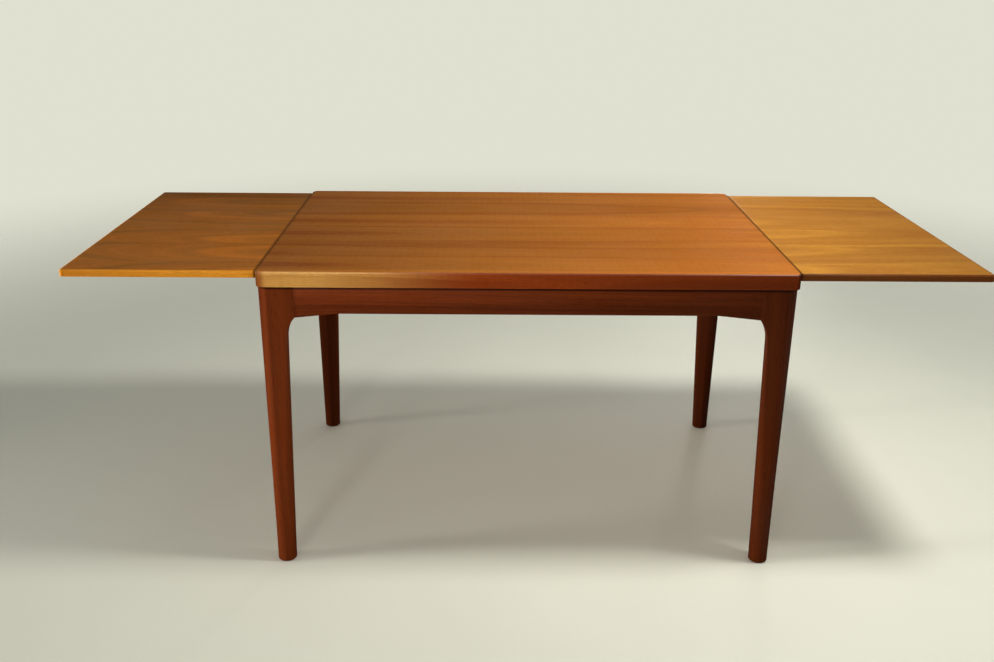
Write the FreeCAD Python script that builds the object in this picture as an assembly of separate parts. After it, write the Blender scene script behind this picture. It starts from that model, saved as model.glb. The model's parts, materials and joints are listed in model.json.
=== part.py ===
import FreeCAD, Part
import math
import os

from FreeCAD import Vector

# A draw leaf table with both leaves drawn out, in millimetres.
# The origin is on the floor under the middle of the table, X runs along the leaves, Y to the back, Z up.

# Driving sizes of the centre top
table_height = 740.0
top_length = 1200.0
top_width = 800.0
panel_thickness = 14.0  # in the middle of the panel
panel_end_thickness = 2.5  # at the ends, where the underside is planed away for the leaves
panel_end_radius = 1.0
lip_thickness = 16.0
lip_corner_radius = 12.0
lip_edge_radius = 3.0

# Driving sizes of the leaves
leaf_length = 430.0
leaf_thickness = 17.0
leaf_lip_width = 12.0
leaf_corner_radius = 7.0
leaf_edge_radius = 4.0
leaf_joint_radius = 1.5  # of the edges beside the top
leaf_tongue_reach = 9.0  # of the inner lip, under the end of the top
leaf_tongue_thickness = 6.0
leaf_tongue_drop = 0.8  # below the leaf's upper face

# Driving sizes of the legs
top_end_overhang = 0.5  # from the outer faces of the legs to the ends of the top
top_side_overhang = 4.0  # from the outer faces of the legs to the front and back of the top
leg_width = 61.0
leg_facet = 19.0  # the canted outer corner
leg_edge_radius = 2.0
facet_crown = 0.2  # how far a canted face bows towards its corner, 0 for flat
ear_reach = 19.5
ear_drop = 50.0
foot_diameter = 44.0
foot_flat = 2.0  # straight stretch left on each side of the round foot
foot_chamfer = 3.0

# Driving sizes of the aprons and their dowels
apron_height = 62.0
apron_thickness = 22.0
apron_setback = 1.0
apron_dip = 10.0  # how far the lower edge drops to the ears of the legs
apron_dip_length = 95.0
dowel_diameter = 10.0
dowel_length = 50.0
dowel_chamfer = 1.0
dowel_edge_distance = 20.0  # from the top and from the lowest corner of an apron

# Driving sizes of the runners and what guides them
runner_width = 24.0
runner_height = 39.0
runner_tail_reach = 40.0  # past the middle of the table, with the leaf drawn
runner_end_inset = 33.0  # from the outer end of the leaf
runner_nose_length = 40.0
runner_nose_height = 15.0
runner_screw_count = 3
runner_screw_end_distance = 60.0
runner_screw_web = 16.0  # wood between a screw's head and the leaf
runner_screw_bite = 11.0  # of a screw in the leaf
guide_thickness = 14.0
guide_height = 38.0
divider_thickness = 10.0
guide_end_inset = 5.0
guide_block_gap = 21.0  # from the outer guide to the corner blocks, across the table
guide_screw_inset = 25.0
guide_screw_bite = 10.0
stop_peg_diameter = 8.0
stop_peg_inset = 18.0  # from the runner's tail
stop_peg_depth = 12.0
stop_peg_length = 21.0

# Driving sizes of the bearer, its cleats and the pegs of the top
bearer_end_gap = 20.0  # to the inner edge of a stowed leaf
bearer_screw_count = 3  # at each end
bearer_screw_bite = 12.0
cleat_width = 22.0
cleat_height = 24.0
cleat_screw_count = 4  # in each cleat
cleat_screw_rise = 8.0  # above the cleat's lower edge
cleat_screw_bite = 14.0
top_peg_diameter = 20.0
top_peg_length = 44.0
top_peg_depth = 8.0
top_peg_guide_gap = 30.0  # from the inner guide
top_peg_chamfer = 2.0

# Driving sizes of the corner blocks and their bolts
block_height = 45.0
block_top_gap = 7.0
block_reach = 112.0  # along the aprons, from their ends' inner face
block_tip = 8.0
block_screw_spacing = 24.0
block_screw_inset = 20.0  # from the end of a block
block_screw_web = 12.0
block_screw_bite = 14.0
bolt_diameter = 8.0
bolt_depth = 32.0
bolt_projection = 4.0  # past the nut
washer_diameter = 22.0
washer_thickness = 2.0
nut_across_flats = 13.0
nut_height = 6.5

# Driving sizes of the wood screws
screw_diameter = 4.0
screw_head_diameter = 8.0
screw_head_height = 2.5
screw_tip_length = 4.0
screw_slot_width = 1.0
screw_slot_depth = 0.8

# Clearances
leaf_top_clearance = 0.5  # leaf to the planed underside of the panel
leaf_frame_clearance = 4.5  # stowed leaf to the tops of legs and aprons
leaf_side_clearance = 1.0
leaf_end_gap = 3.0  # drawn leaf to the end of the top
bearer_top_clearance = 0.5
bearer_side_clearance = 2.0
runner_bearer_clearance = 0.5
runner_side_clearance = 1.0
runner_notch_clearance = 0.4
stop_clearance = 0.3
peg_clearance = 0.5
block_gap = 1.0  # leg to corner block, closed by the bolt
bolt_clearance = 0.5
thread_clearance = 0.05
fit_clearance = 0.05  # dowels, pegs and screws in their holes

# Levels and places that follow from the driving sizes
half_length = top_length / 2
half_width = top_width / 2
leaf_step = panel_end_thickness + leaf_top_clearance
leaf_drop = panel_thickness - panel_end_thickness
lip_depth = leaf_step + leaf_thickness + leaf_drop + leaf_frame_clearance
frame_top = table_height - lip_depth
panel_under = table_height - panel_thickness
leaf_top = table_height - leaf_step
leaf_under = leaf_top - leaf_thickness
leaf_travel = leaf_length + leaf_end_gap
slope = leaf_drop / leaf_travel
leaf_inner = half_length + leaf_end_gap
leaf_outer = leaf_inner + leaf_length
leaf_side = half_width - lip_thickness - leaf_side_clearance
leg_outer_x = half_length - top_end_overhang
leg_outer_y = half_width - top_side_overhang
apron_inner = apron_setback + apron_thickness
leg_flat = leg_width - apron_inner  # the canted inner corner, from ear to ear
apron_bottom = frame_top - apron_height
ear_corner = apron_bottom - apron_dip
ear_foot = ear_corner - ear_drop
ear_end = leg_width + ear_reach
bearer_half = leaf_inner - leaf_travel - bearer_end_gap
runner_top_at_bearer = leaf_under - (leaf_inner - bearer_half) * slope
bearer_under = runner_top_at_bearer + runner_bearer_clearance
bearer_top = panel_under - bearer_top_clearance
notch_inner_x = leg_outer_x - apron_inner
block_top = frame_top - block_top_gap
block_middle = block_top - block_height / 2
block_end = apron_inner + block_reach
root_two = math.sqrt(2)
round_crown = root_two - 1  # the crown of a corner cut to a quarter circle
same_place = 1e-6  # two lengths closer than this are taken as equal

# Rows across the table, from the corner blocks inwards:
# outer guide, outer runner, divider, inner runner, inner guide.
outer_guide = leg_outer_y - block_end - guide_block_gap - guide_thickness
outer_runner = outer_guide - runner_side_clearance - runner_width
divider_start = outer_runner - runner_side_clearance - divider_thickness
inner_runner = divider_start - runner_side_clearance - runner_width
inner_guide = inner_runner - runner_side_clearance - guide_thickness
top_peg_place = inner_guide - top_peg_guide_gap - top_peg_diameter / 2
runner_rows = {"right": inner_runner, "left": outer_runner}

# Lengths of the screws: what each passes through, and its bite
runner_screw_length = runner_screw_web + runner_screw_bite
guide_screw_length = guide_height + guide_screw_bite
bearer_screw_length = bearer_top - bearer_under + bearer_screw_bite
cleat_screw_length = cleat_width + cleat_screw_bite
block_screw_length = block_screw_web + block_screw_bite

sides = {"left": -1, "right": 1}
depths = {"front": -1, "back": 1}


# Helpers

def box(x_low, x_high, y_low, y_high, z_low, z_high):
    corner = Vector(x_low, y_low, z_low)
    return Part.makeBox(x_high - x_low, y_high - y_low, z_high - z_low, corner)


def prism(points, direction):
    """The flat outline through the points, drawn out along direction."""
    outline = Part.makePolygon(points + points[:1])
    return Part.Face(outline).extrude(direction)


def rod(start, direction, length, radius):
    return Part.makeCylinder(radius, length, start, direction)


def spun(profile, start, direction):
    """The (radius, distance) profile turned about an axis from start along direction."""
    points = [Vector(radius, 0, along) for radius, along in profile]
    face = Part.Face(Part.makePolygon(points + points[:1]))
    solid = face.revolve(Vector(0, 0, 0), Vector(0, 0, 1), 360)
    turn = FreeCAD.Rotation(Vector(0, 0, 1), direction)
    solid.Placement = FreeCAD.Placement(start, turn)
    return solid


def mirrored(shape, x_sign, y_sign):
    """A copy of a shape made for positive X and Y, in the quadrant that the signs name."""
    out = shape.copy()
    if x_sign < 0:
        out = out.mirror(Vector(0, 0, 0), Vector(1, 0, 0))
    if y_sign < 0:
        out = out.mirror(Vector(0, 0, 0), Vector(0, 1, 0))
    return out


def quadrants(shape):
    return [mirrored(shape, x, y) for x in (-1, 1) for y in (-1, 1)]


def corner_place(u, v, z):
    """A point given by its distances u and v inward from the outer faces of the back right leg."""
    return Vector(leg_outer_x - u, leg_outer_y - v, z)


def corner_prism(outline, bottom, top):
    points = [corner_place(u, v, bottom) for u, v in outline]
    return prism(points, Vector(0, 0, top - bottom))


def edges_where(shape, test):
    return [edge for edge in shape.Edges if test(edge)]


def is_upright(edge):
    low, high = edge.Vertexes[0].Point, edge.Vertexes[-1].Point
    return math.hypot(low.x - high.x, low.y - high.y) < same_place


def lies_at_height(edge, z):
    return edge.BoundBox.ZMax - edge.BoundBox.ZMin < same_place and abs(edge.BoundBox.ZMin - z) < same_place


def wood_screw(head, direction, length):
    """A countersunk slotted screw whose head's top lies at the given point."""
    shank, cap = screw_diameter / 2, screw_head_diameter / 2
    profile = [(0, 0), (cap, 0), (shank, screw_head_height), (shank, length - screw_tip_length), (0, length)]
    slot = box(-screw_head_diameter, screw_head_diameter, -screw_slot_width / 2, screw_slot_width / 2, 0,
               screw_slot_depth)
    slot.Placement = FreeCAD.Placement(head, FreeCAD.Rotation(Vector(0, 0, 1), direction))
    return spun(profile, head, direction).cut(slot)


def screw_hole(head, direction, length, recess=0.0):
    """The room a screw needs, with a recess for its head to pass where it lies below the surface."""
    shank, cap = screw_diameter / 2 + fit_clearance, screw_head_diameter / 2 + fit_clearance
    mouth = [(0, -recess), (cap, -recess), (cap, 0)] if recess else [(0, 0), (cap, 0)]
    point = [(shank, screw_head_height), (shank, length - screw_tip_length), (0, length + fit_clearance)]
    return spun(mouth + point, head, direction)


def dowel(start, direction):
    radius = dowel_diameter / 2
    narrow = radius - dowel_chamfer
    near_end = [(0, 0), (narrow, 0), (radius, dowel_chamfer)]
    far_end = [(radius, dowel_length - dowel_chamfer), (narrow, dowel_length), (0, dowel_length)]
    return spun(near_end + far_end, start, direction)


def runner_top(x):
    """Height of the drawn right runner's upper edge: sloping under the top, flat under the leaf."""
    return leaf_under - max(leaf_inner - x, 0) * slope


def runner_bottom(x):
    return leaf_under - (leaf_inner - x) * slope - runner_height


# Centre top

def top_peg_start(y_sign):
    return Vector(0, y_sign * top_peg_place, panel_under + top_peg_depth)


def make_top_panel():
    """The panel, thinned from below towards both ends along the slope that the leaves follow."""
    end_under = table_height - panel_end_thickness
    middle = half_length - leaf_travel
    outline = [(-half_length, table_height), (half_length, table_height), (half_length, end_under)]
    outline += [(middle, panel_under), (-middle, panel_under), (-half_length, end_under)]
    side = half_width - lip_thickness
    panel = prism([Vector(x, -side, z) for x, z in outline], Vector(0, 2 * side, 0))
    ends = edges_where(panel, lambda e: lies_at_height(e, table_height) and e.BoundBox.XLength < same_place)
    panel = panel.makeFillet(panel_end_radius, ends)
    radius = top_peg_diameter / 2 + fit_clearance
    for y_sign in depths.values():
        panel = panel.cut(rod(top_peg_start(y_sign), Vector(0, 0, -1), top_peg_depth, radius))
    return panel


def make_top_lip():
    """The back lip, with its outer corners and edges rounded."""
    lip = box(-half_length, half_length, half_width - lip_thickness, half_width, frame_top, table_height)
    outer = half_width - lip_thickness / 2
    corners = edges_where(lip, lambda e: is_upright(e) and e.CenterOfMass.y > outer)
    lip = lip.makeFillet(lip_corner_radius, corners)
    glued = half_width - lip_thickness + same_place
    rims = edges_where(lip, lambda e: lies_at_height(e, table_height) and e.BoundBox.YMax > glued)
    return lip.makeFillet(lip_edge_radius, rims)


def make_top_peg():
    radius = top_peg_diameter / 2
    profile = [(0, 0), (radius, 0), (radius, top_peg_length - top_peg_chamfer)]
    profile += [(radius - top_peg_chamfer, top_peg_length), (0, top_peg_length)]
    return spun(profile, top_peg_start(1), Vector(0, 0, -1))


# Leaves, made for the right end and mirrored for the left

def runner_screws(row):
    """Head places of the screws that hold one runner, along its upper stretch under the leaf."""
    first = leaf_inner + runner_screw_end_distance
    last = leaf_outer - runner_end_inset - runner_screw_end_distance
    step = (last - first) / (runner_screw_count - 1)
    middle, z = row + runner_width / 2, leaf_under - runner_screw_web
    return [Vector(first + i * step, middle, z) for i in range(runner_screw_count)]


def make_leaf_pieces(row):
    """Panel and four edge lips of a leaf, the inner one with a tongue that closes the joint with the top.

    The runners of the leaf stand at the given row.
    """
    inset_x = (leaf_inner + leaf_lip_width, leaf_outer - leaf_lip_width)
    side = leaf_side - leaf_lip_width
    panel = box(*inset_x, -side, side, leaf_under, leaf_top)
    for head in runner_screws(row):
        hole = screw_hole(head, Vector(0, 0, 1), runner_screw_length)
        panel = panel.cut([hole, mirrored(hole, 1, -1)])
    outer = box(inset_x[1], leaf_outer, -leaf_side, leaf_side, leaf_under, leaf_top)
    corners = edges_where(outer, lambda e: is_upright(e) and e.CenterOfMass.x > leaf_outer - same_place)
    outer = outer.makeFillet(leaf_corner_radius, corners)
    outer = outer.makeFillet(leaf_edge_radius, rim_edges(outer, lambda b: b.XMax > inset_x[1] + same_place))
    inner = box(leaf_inner, inset_x[0], -leaf_side, leaf_side, leaf_under, leaf_top)
    inner = inner.makeFillet(leaf_edge_radius, rim_edges(inner, lambda b: b.YLength < same_place))
    joint_edges = edges_where(inner, lambda e: e.BoundBox.XMax < leaf_inner + same_place)
    inner = inner.makeFillet(leaf_joint_radius, joint_edges)
    tongue_top, tongue_side = leaf_top - leaf_tongue_drop, leaf_side - leaf_edge_radius
    tongue = box(leaf_inner - leaf_tongue_reach, inset_x[0] - leaf_joint_radius, -tongue_side, tongue_side,
                 tongue_top - leaf_tongue_thickness, tongue_top)
    inner = inner.fuse(tongue).removeSplitter()
    back = box(*inset_x, side, leaf_side, leaf_under, leaf_top)
    back = back.makeFillet(leaf_edge_radius, rim_edges(back, lambda b: b.YMin > side + same_place))
    front = mirrored(back, 1, -1)
    return {"panel": panel, "lip_outer": outer, "lip_inner": inner, "lip_front": front, "lip_back": back}


def rim_edges(shape, test):
    """Edges of the upper and lower faces, other than the glued one, that the test picks out."""
    flat = [leaf_top, leaf_under]
    return edges_where(shape, lambda e: any(lies_at_height(e, z) for z in flat) and test(e.BoundBox))


def stop_peg_place(row, outward):
    """Where a runner's stop peg enters its side, outward from the middle plane or inward."""
    x = stop_peg_inset - runner_tail_reach
    z = (runner_top(x) + runner_bottom(x)) / 2
    face = row + runner_width if outward else row
    return Vector(x, face, z)


def make_stop_peg(row, outward, clearance=0.0):
    way = 1 if outward else -1
    start = stop_peg_place(row, outward) - Vector(0, way * stop_peg_depth, 0)
    return rod(start, Vector(0, way, 0), stop_peg_length, stop_peg_diameter / 2 + clearance)


def make_runner(row, outward):
    """The back runner of a right leaf: parallel and sloping inside the frame, tapered under the leaf."""
    tail, end = -runner_tail_reach, leaf_outer - runner_end_inset
    nose = end - runner_nose_length
    outline = [(tail, runner_bottom(tail)), (nose, runner_bottom(nose))]
    outline += [(end, leaf_under - runner_nose_height), (end, leaf_under)]
    outline += [(leaf_inner, leaf_under), (tail, runner_top(tail))]
    runner = prism([Vector(x, row, z) for x, z in outline], Vector(0, runner_width, 0))
    for head in runner_screws(row):
        runner = runner.cut(screw_hole(head, Vector(0, 0, 1), runner_screw_length, runner_height))
    return runner.cut(make_stop_peg(row, outward, fit_clearance))


# Legs and aprons

def leg_section(z, width, outer_cut, inner_cut, crown, radius, inset=0.0):
    """Outline of a leg at height z, with its outer and inner corners cut back and the two others rounded."""
    near, far = inset, inset + width
    corners = [
        ((near, near + outer_cut), (near, near), (near + outer_cut, near), crown),
        ((far - radius, near), (far, near), (far, near + radius), round_crown),
        ((far, far - inner_cut), (far, far), (far - inner_cut, far), crown),
        ((near + radius, far), (near, far), (near, far - radius), round_crown),
    ]
    edges = []
    for place, (start, corner, end, bow) in enumerate(corners):
        p, q, r = (corner_place(u, v, z) for u, v in (start, corner, end))
        chord = (p + r) * 0.5
        edges.append(Part.Arc(p, chord + (q - chord) * bow, r).toShape())
        following = corner_place(*corners[(place + 1) % 4][0], z)
        edges.append(Part.makeLine(r, following))
    return Part.Wire(edges)


def make_ear(swap):
    """The part of a leg that reaches out to an apron, with a hollow curve below."""
    radius = (ear_reach ** 2 + ear_drop ** 2) / (2 * ear_reach)
    half = ear_drop / 2
    middle = leg_width + radius - math.sqrt(radius ** 2 - half ** 2)
    start = leg_width - leg_edge_radius

    def place(u, z):
        return corner_place(0, u, z) if swap else corner_place(u, 0, z)

    curve = Part.Arc(place(leg_width, ear_foot), place(middle, ear_foot + half), place(ear_end, ear_corner))
    rest = [place(ear_end, ear_corner), place(ear_end, frame_top), place(start, frame_top)]
    rest += [place(start, ear_foot), place(leg_width, ear_foot)]
    outline = Part.Wire([curve.toShape()] + Part.makePolygon(rest).Edges)
    inward = Vector(-apron_inner, 0, 0) if swap else Vector(0, -apron_inner, 0)
    return Part.Face(outline).extrude(inward)


def dowel_places():
    """Starts and directions of the dowels of one leg, two into each apron."""
    middle = apron_setback + apron_thickness / 2
    start = ear_end - dowel_length / 2
    places = []
    for z in (frame_top - dowel_edge_distance, ear_corner + dowel_edge_distance):
        places.append((corner_place(start, middle, z), Vector(-1, 0, 0)))
        places.append((corner_place(middle, start, z), Vector(0, -1, 0)))
    return places


def dowel_holes():
    radius = dowel_diameter / 2 + fit_clearance
    return [rod(start, way, dowel_length, radius) for start, way in dowel_places()]


def make_leg():
    """The back right leg: a block with two ears, tapering to a round foot with its outer faces upright."""
    upper = leg_section(ear_foot, leg_width, leg_facet, leg_flat, facet_crown, leg_edge_radius)
    cut = (foot_diameter - foot_flat) / 2
    foot = leg_section(foot_chamfer, foot_diameter, cut, cut, round_crown, cut)
    cut -= foot_chamfer
    sole = leg_section(0, foot_diameter - 2 * foot_chamfer, cut, cut, round_crown, cut, foot_chamfer)
    leg = Part.makeLoft([upper, foot, sole], True, True)
    block = Part.Face(upper).extrude(Vector(0, 0, frame_top - ear_foot))
    leg = leg.fuse([block, make_ear(False), make_ear(True)]).removeSplitter()
    near, far = leg_width - leg_flat - block_gap, leg_width + block_gap
    flat_bottom = block_top - block_height - block_gap
    leg = leg.cut(corner_prism([(near, far), (far, near), (far, far)], flat_bottom, frame_top))
    bolt_hole = rod(bolt_place(-bolt_depth), bolt_direction, bolt_depth, bolt_diameter / 2 + thread_clearance)
    return leg.cut(dowel_holes() + [bolt_hole])


def apron_outline(half):
    """Half lengths and heights round an apron whose lower edge dips to its ends."""
    flat = half - apron_dip_length
    upper = [(-half, frame_top), (half, frame_top), (half, ear_corner)]
    return upper + [(flat, apron_bottom), (-flat, apron_bottom), (-half, ear_corner)]


def make_long_apron():
    """The back apron."""
    face = leg_outer_y - apron_inner
    points = [Vector(x, face, z) for x, z in apron_outline(leg_outer_x - ear_end)]
    apron = prism(points, Vector(0, apron_thickness, 0))
    holes = dowel_holes() + block_screw_holes()
    return apron.cut(holes + [mirrored(hole, -1, 1) for hole in holes] + cleat_screw_holes())


def make_end_apron(row):
    """The right apron, notched from above for the two runners of its leaf."""
    points = [Vector(notch_inner_x, y, z) for y, z in apron_outline(leg_outer_y - ear_end)]
    apron = prism(points, Vector(apron_thickness, 0, 0))
    floor = runner_bottom(notch_inner_x) - runner_notch_clearance
    notch = box(notch_inner_x, notch_inner_x + apron_thickness, row - runner_side_clearance,
                row + runner_width + runner_side_clearance, floor, frame_top)
    holes = [notch] + dowel_holes() + block_screw_holes()
    return apron.cut(holes + [mirrored(hole, 1, -1) for hole in holes])


# Corner blocks, bolts and their screws

block_front_sum = 2 * leg_width - leg_flat + block_gap * root_two
block_back_sum = block_end + apron_inner + block_tip
bolt_direction = Vector(-1, -1, 0) * (1 / root_two)


def bolt_place(distance):
    """A point on the bolt's axis, at a distance inward from the flat on the leg."""
    middle = leg_width - leg_flat / 2
    return corner_place(middle, middle, block_middle) + bolt_direction * distance


def block_screw_places():
    """Heads and directions of the screws of one corner block, two into each apron."""
    along = block_end - block_screw_inset
    across = apron_inner + block_screw_web
    places = []
    for z in (block_middle - block_screw_spacing / 2, block_middle + block_screw_spacing / 2):
        places.append((corner_place(along, across, z), Vector(0, 1, 0)))
        places.append((corner_place(across, along, z), Vector(1, 0, 0)))
    return places


def block_screw_holes():
    return [screw_hole(head, way, block_screw_length, block_reach) for head, way in block_screw_places()]


def make_corner_block():
    near, tip = block_front_sum - apron_inner, apron_inner + block_tip
    outline = [(near, apron_inner), (block_end, apron_inner), (block_end, tip), (tip, block_end)]
    outline += [(apron_inner, block_end), (apron_inner, near)]
    block = corner_prism(outline, block_top - block_height, block_top)
    bolt_hole = rod(bolt_place(0), bolt_direction, block_end, bolt_diameter / 2 + bolt_clearance)
    return block.cut(block_screw_holes() + [bolt_hole])


def washer_place():
    return bolt_place((block_back_sum - 2 * leg_width + leg_flat) / root_two)


def make_hanger_bolt():
    start = bolt_place(-bolt_depth)
    end = washer_place() + bolt_direction * (washer_thickness + nut_height + bolt_projection)
    return rod(start, bolt_direction, (end - start).Length, bolt_diameter / 2)


def make_washer():
    hole = rod(washer_place(), bolt_direction, washer_thickness, bolt_diameter / 2 + bolt_clearance)
    return rod(washer_place(), bolt_direction, washer_thickness, washer_diameter / 2).cut(hole)


def make_nut():
    radius = nut_across_flats / math.sqrt(3)
    points = [Vector(radius * math.cos(math.radians(60 * i)), radius * math.sin(math.radians(60 * i)), 0)
              for i in range(6)]
    nut = prism(points, Vector(0, 0, nut_height))
    bore = rod(Vector(0, 0, 0), Vector(0, 0, 1), nut_height, bolt_diameter / 2 + thread_clearance)
    nut = nut.cut(bore)
    start = washer_place() + bolt_direction * washer_thickness
    nut.Placement = FreeCAD.Placement(start, FreeCAD.Rotation(Vector(0, 0, 1), bolt_direction))
    return nut


# Bearer, cleats and guides

cleat_face = leg_outer_y - apron_inner


def spread(count):
    """Places along X that share the bearer's width evenly."""
    step = 2 * bearer_half / count
    return [(i + 0.5) * step - bearer_half for i in range(count)]


def cleat_screw_places():
    """Heads and directions of the screws that hold the back cleat to its apron."""
    z = bearer_under - cleat_height + cleat_screw_rise
    return [(Vector(x, cleat_face - cleat_width, z), Vector(0, 1, 0)) for x in spread(cleat_screw_count)]


def cleat_screw_holes():
    return [screw_hole(head, way, cleat_screw_length) for head, way in cleat_screw_places()]


def bearer_screw_places():
    """Heads and directions of the screws through the back end of the bearer into its cleat."""
    y = cleat_face - cleat_width / 2
    return [(Vector(x, y, bearer_top), Vector(0, 0, -1)) for x in spread(bearer_screw_count)]


def bearer_screw_holes():
    return [screw_hole(head, way, bearer_screw_length) for head, way in bearer_screw_places()]


def make_cleat():
    bottom = bearer_under - cleat_height
    cleat = box(-bearer_half, bearer_half, cleat_face - cleat_width, cleat_face, bottom, bearer_under)
    return cleat.cut(cleat_screw_holes() + bearer_screw_holes())


def guide_spans():
    """Y start, thickness and X span of the three guide strips on the back side."""
    full = bearer_half - guide_end_inset
    stop = runner_tail_reach - stop_peg_inset - stop_peg_diameter / 2 - stop_clearance
    return {
        "inner": (inner_guide, guide_thickness, -stop, full),
        "middle": (divider_start, divider_thickness, -full, full),
        "outer": (outer_guide, guide_thickness, -full, stop),
    }


def guide_screw_places(name):
    y, thickness, start, end = guide_spans()[name]
    z = bearer_under - guide_height
    xs = (start + guide_screw_inset, end - guide_screw_inset)
    return [(Vector(x, y + thickness / 2, z), Vector(0, 0, 1)) for x in xs]


def guide_screw_holes(name):
    return [screw_hole(head, way, guide_screw_length) for head, way in guide_screw_places(name)]


def make_guide(name):
    y, thickness, start, end = guide_spans()[name]
    strip = box(start, end, y, y + thickness, bearer_under - guide_height, bearer_under)
    return strip.cut(guide_screw_holes(name))


def make_bearer():
    side = half_width - lip_thickness - bearer_side_clearance
    bearer = box(-bearer_half, bearer_half, -side, side, bearer_under, bearer_top)
    peg = rod(top_peg_start(1), Vector(0, 0, -1), top_peg_length, top_peg_diameter / 2 + peg_clearance)
    holes = bearer_screw_holes() + [peg]
    for name in guide_spans():
        holes += guide_screw_holes(name)
    return bearer.cut(holes + [mirrored(hole, 1, -1) for hole in holes])


# Every node, by name

def frame_nodes():
    nodes = {}
    leg, block, long_apron, cleat = make_leg(), make_corner_block(), make_long_apron(), make_cleat()
    for depth, y_sign in depths.items():
        nodes[f"apron_{depth}"] = mirrored(long_apron, 1, y_sign)
        nodes[f"bearer_cleat_{depth}"] = mirrored(cleat, 1, y_sign)
        for name in guide_spans():
            nodes[f"guide_{depth}_{name}"] = mirrored(make_guide(name), 1, y_sign)
        for side, x_sign in sides.items():
            nodes[f"leg_{depth}_{side}"] = mirrored(leg, x_sign, y_sign)
            nodes[f"corner_block_{depth}_{side}"] = mirrored(block, x_sign, y_sign)
    for side, x_sign in sides.items():
        nodes[f"apron_{side}"] = mirrored(make_end_apron(runner_rows[side]), x_sign, 1)
    nodes["centre_bearer"] = make_bearer()
    return nodes


def fastener_nodes():
    guide_places = [place for name in guide_spans() for place in guide_screw_places(name)]
    per_side = {
        "guide_screws": [wood_screw(*place, guide_screw_length) for place in guide_places],
        "bearer_screws": [wood_screw(*place, bearer_screw_length) for place in bearer_screw_places()],
        "cleat_screws": [wood_screw(*place, cleat_screw_length) for place in cleat_screw_places()],
    }
    per_corner = {
        "apron_dowels": [dowel(*place) for place in dowel_places()],
        "hanger_bolts": [make_hanger_bolt()],
        "hanger_washers": [make_washer()],
        "hanger_nuts": [make_nut()],
        "corner_block_screws": [wood_screw(*place, block_screw_length) for place in block_screw_places()],
    }
    nodes = {}
    for name, solids in per_side.items():
        nodes[name] = Part.makeCompound(solids + [mirrored(solid, 1, -1) for solid in solids])
    for name, solids in per_corner.items():
        nodes[name] = Part.makeCompound([copy for solid in solids for copy in quadrants(solid)])
    return nodes


def top_nodes():
    nodes = {"top_panel": make_top_panel()}
    for depth, y_sign in depths.items():
        nodes[f"top_lip_{depth}"] = mirrored(make_top_lip(), 1, y_sign)
        nodes[f"top_peg_{depth}"] = mirrored(make_top_peg(), 1, y_sign)
    return nodes


def leaf_nodes(side):
    x_sign, row = sides[side], runner_rows[side]
    outward = row > inner_runner
    nodes = {}
    for name, piece in make_leaf_pieces(row).items():
        nodes[f"leaf_{side}_{name}"] = mirrored(piece, x_sign, 1)
    runner, peg = make_runner(row, outward), make_stop_peg(row, outward)
    for depth, y_sign in depths.items():
        nodes[f"runner_{side}_{depth}"] = mirrored(runner, x_sign, y_sign)
    screws = [wood_screw(head, Vector(0, 0, 1), runner_screw_length) for head in runner_screws(row)]
    both = [mirrored(screw, x_sign, y_sign) for screw in screws for y_sign in depths.values()]
    nodes[f"runner_{side}_screws"] = Part.makeCompound(both)
    nodes[f"runner_{side}_stop_pegs"] = Part.makeCompound([mirrored(peg, x_sign, y) for y in depths.values()])
    return nodes


os.makedirs("parts", exist_ok=True)
all_nodes = {**frame_nodes(), **fastener_nodes(), **top_nodes(), **leaf_nodes("left"), **leaf_nodes("right")}
for node, shape in all_nodes.items():
    shape.exportStep(f"parts/{node}.step")
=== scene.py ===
"""A draw leaf table in teak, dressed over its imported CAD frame."""

import json
import math

import bmesh
import bpy
from mathutils import Matrix, Vector

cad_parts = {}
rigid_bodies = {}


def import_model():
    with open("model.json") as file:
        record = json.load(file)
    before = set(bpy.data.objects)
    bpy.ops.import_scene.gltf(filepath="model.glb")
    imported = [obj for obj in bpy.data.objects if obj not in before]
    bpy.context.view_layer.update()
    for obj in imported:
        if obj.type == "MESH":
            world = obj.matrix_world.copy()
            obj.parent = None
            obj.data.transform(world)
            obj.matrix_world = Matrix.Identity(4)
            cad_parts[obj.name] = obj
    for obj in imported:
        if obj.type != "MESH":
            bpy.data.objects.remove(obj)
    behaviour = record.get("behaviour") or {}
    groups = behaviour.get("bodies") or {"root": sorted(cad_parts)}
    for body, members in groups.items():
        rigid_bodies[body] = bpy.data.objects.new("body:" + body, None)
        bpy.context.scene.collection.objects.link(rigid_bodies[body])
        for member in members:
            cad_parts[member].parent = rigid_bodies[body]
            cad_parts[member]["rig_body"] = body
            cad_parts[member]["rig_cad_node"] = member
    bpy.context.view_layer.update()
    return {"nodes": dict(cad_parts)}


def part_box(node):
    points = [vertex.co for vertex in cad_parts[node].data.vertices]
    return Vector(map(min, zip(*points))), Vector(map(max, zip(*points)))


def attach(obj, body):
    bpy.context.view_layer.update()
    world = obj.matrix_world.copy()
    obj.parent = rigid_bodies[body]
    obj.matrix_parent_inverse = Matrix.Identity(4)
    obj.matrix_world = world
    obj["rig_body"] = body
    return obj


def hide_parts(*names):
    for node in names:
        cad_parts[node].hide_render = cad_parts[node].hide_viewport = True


bl_info = {
    "name": "Draw leaf table",
    "version": (1, 0, 0),
    "blender": (4, 5, 0),
    "location": "View3D > Sidebar > Table",
    "description": "Dresses a packed draw leaf table with shaped timber, teak veneers and fittings",
    "category": "Mesh",
}

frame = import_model()

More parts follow.
